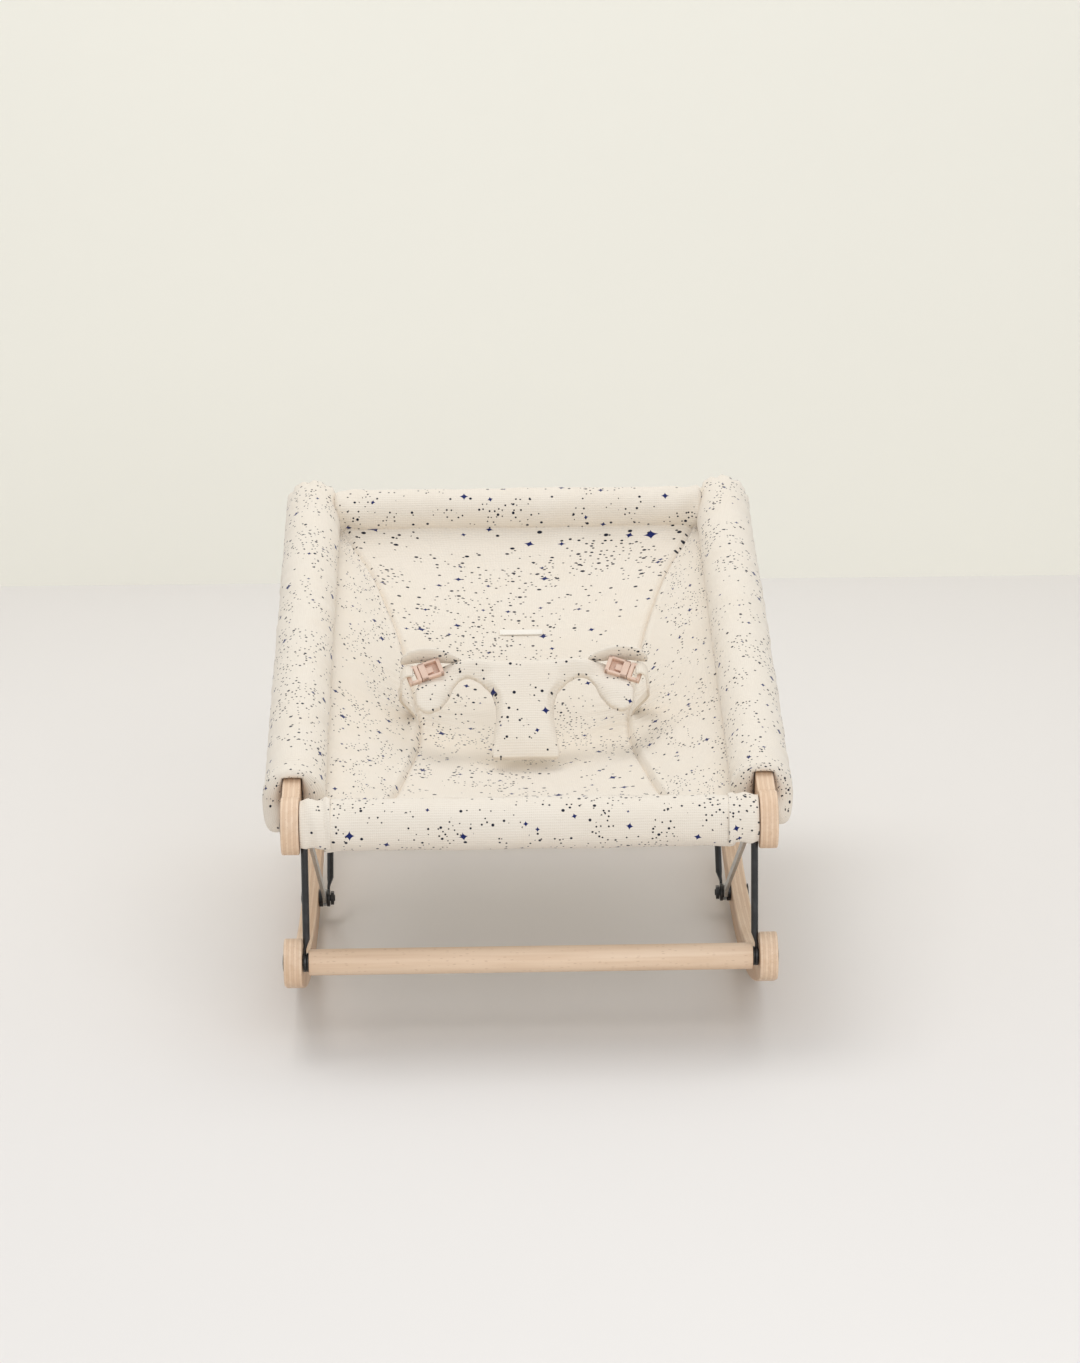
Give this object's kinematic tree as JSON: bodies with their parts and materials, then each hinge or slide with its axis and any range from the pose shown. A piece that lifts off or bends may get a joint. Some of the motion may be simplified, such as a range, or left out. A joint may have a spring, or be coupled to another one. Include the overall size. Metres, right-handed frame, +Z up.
{
  "type": "bouncer seat",
  "caption": "Folding baby bouncer seat with curved plywood runners, steel legs and stays, and a padded cloth sling with a buckled T-shaped restraint.",
  "frame": {"origin": "on the floor between the runners, at the middle of their arc, where they touch the floor at rest", "axes": "+Z up, +Y from the front to the head end, X across the width"},
  "size_m": [0.4432, 0.6674, 0.3656],
  "materials": {
    "beech_plywood": "clear satin lacquer, plywood edge layers showing",
    "beech_dowel": "clear satin lacquer, fine beech flecks",
    "black_rod": "black powder coat",
    "black_fastener": "black oxide",
    "zinc_steel": "bright zinc plate",
    "dotted_gauze": "cream ribbed cotton gauze with small navy dots and stars",
    "strap_cloth": "plain cream cotton",
    "buckle_plastic": "satin dusty pink",
    "label_tape": "plain woven tape"
  },
  "bodies": {
    "base": {"runner_left": "beech_plywood", "runner_right": "beech_plywood", "front_lower_bolt_left": "black_fastener", "front_lower_bolt_right": "black_fastener", "rear_dowel_bolt_left": "black_fastener", "rear_dowel_bolt_right": "black_fastener", "foot_bolt_left": "black_fastener", "foot_bolt_right": "black_fastener", "front_lower_washer_left": "black_fastener", "front_lower_washer_right": "black_fastener", "foot_bushing_left": "black_fastener", "foot_bushing_right": "black_fastener", "foot_nut_left": "black_fastener", "foot_nut_right": "black_fastener", "lower_front_dowel": "beech_dowel", "lower_rear_dowel": "beech_dowel"},
    "front_legs": {"front_leg_left": "black_rod", "front_leg_right": "black_rod"},
    "rear_legs": {"rear_leg_left": "black_rod", "rear_leg_right": "black_rod"},
    "seat_frame": {"rail_left": "beech_plywood", "rail_right": "beech_plywood", "front_upper_bolt_left": "black_fastener", "front_upper_bolt_right": "black_fastener", "head_bolt_left": "black_fastener", "head_bolt_right": "black_fastener", "front_upper_washer_left": "black_fastener", "front_upper_washer_right": "black_fastener", "head_washer_left": "black_fastener", "head_washer_right": "black_fastener", "head_spacer_left": "black_fastener", "head_spacer_right": "black_fastener", "side_roll_left": "dotted_gauze", "side_roll_right": "dotted_gauze", "front_tab_left": "dotted_gauze", "front_tab_right": "dotted_gauze", "buckle_socket_left": "buckle_plastic", "buckle_socket_right": "buckle_plastic", "upper_front_dowel": "beech_dowel", "head_dowel": "beech_dowel", "front_roll": "dotted_gauze", "head_roll": "dotted_gauze", "seat_sling": "dotted_gauze", "restraint_pad": "dotted_gauze", "back_label": "label_tape"},
    "stays": {"stay_left": "zinc_steel", "stay_right": "zinc_steel"},
    "buckle_plug_left": {"buckle_plug_left": "buckle_plastic", "hip_strap_left": "strap_cloth"},
    "buckle_plug_right": {"buckle_plug_right": "buckle_plastic", "hip_strap_right": "strap_cloth"}
  },
  "joints": [
    {"name": "fold", "type": "hinge", "parent": "base", "child": "front_legs", "pos_m": [0, -0.314, 0.077], "axis": [-1, 0, 0], "range_deg": [0, 55]},
    {"name": "rear_leg_swing", "type": "hinge", "parent": "base", "child": "rear_legs", "pos_m": [0, 0.061, 0.022], "axis": [-1, 0, 0], "range_deg": [0, 23.43]},
    {"name": "seat_tilt", "type": "hinge", "parent": "front_legs", "child": "seat_frame", "pos_m": [0, -0.30933, 0.19341], "axis": [-1, 0, 0], "range_deg": [-49, 0]},
    {"name": "stay_lift", "type": "hinge", "parent": "seat_frame", "child": "stays", "pos_m": [0, -0.30933, 0.19341], "axis": [-1, 0, 0], "range_deg": [-20.95, 0]},
    {"name": "buckle_left_release", "type": "slide", "parent": "seat_frame", "child": "buckle_plug_left", "axis": [-1, 0, 0], "range_m": [0, 0.014]},
    {"name": "buckle_right_release", "type": "slide", "parent": "seat_frame", "child": "buckle_plug_right", "axis": [1, 0, 0], "range_m": [0, 0.014]}
  ],
  "couplings": [
    {"joint": "rear_leg_swing", "follows": "fold", "ratio": 0.425},
    {"joint": "seat_tilt", "follows": "fold", "ratio": -0.89},
    {"joint": "stay_lift", "follows": "fold", "ratio": -0.38}
  ]
}
